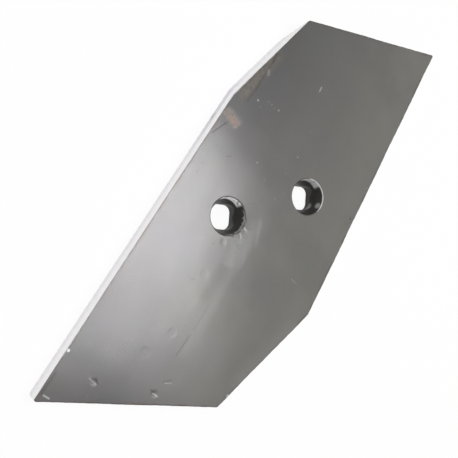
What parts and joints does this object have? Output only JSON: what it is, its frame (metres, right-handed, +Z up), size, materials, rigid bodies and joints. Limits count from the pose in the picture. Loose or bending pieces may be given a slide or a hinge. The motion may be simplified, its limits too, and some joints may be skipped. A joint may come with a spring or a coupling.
{
  "type": "ploughshare point",
  "caption": "Flat six-sided steel ploughshare point with a bevel under each short end and two countersunk square holes for plough bolts.",
  "frame": {"origin": "on the flat underside, midway between the axes of the two bolt holes", "axes": "+X along the long edges towards the fore end, which has the deep underside bevel; +Y across the plate; +Z up out of the face that takes the bolt heads"},
  "size_m": [0.343, 0.124, 0.015],
  "materials": {
    "lacquered_steel": "dark grey satin lacquer on the face, bare pale steel on the sheared walls, with small scratches and rust spots"
  },
  "bodies": {
    "root": {"share_point": "lacquered_steel"}
  },
  "joints": []
}
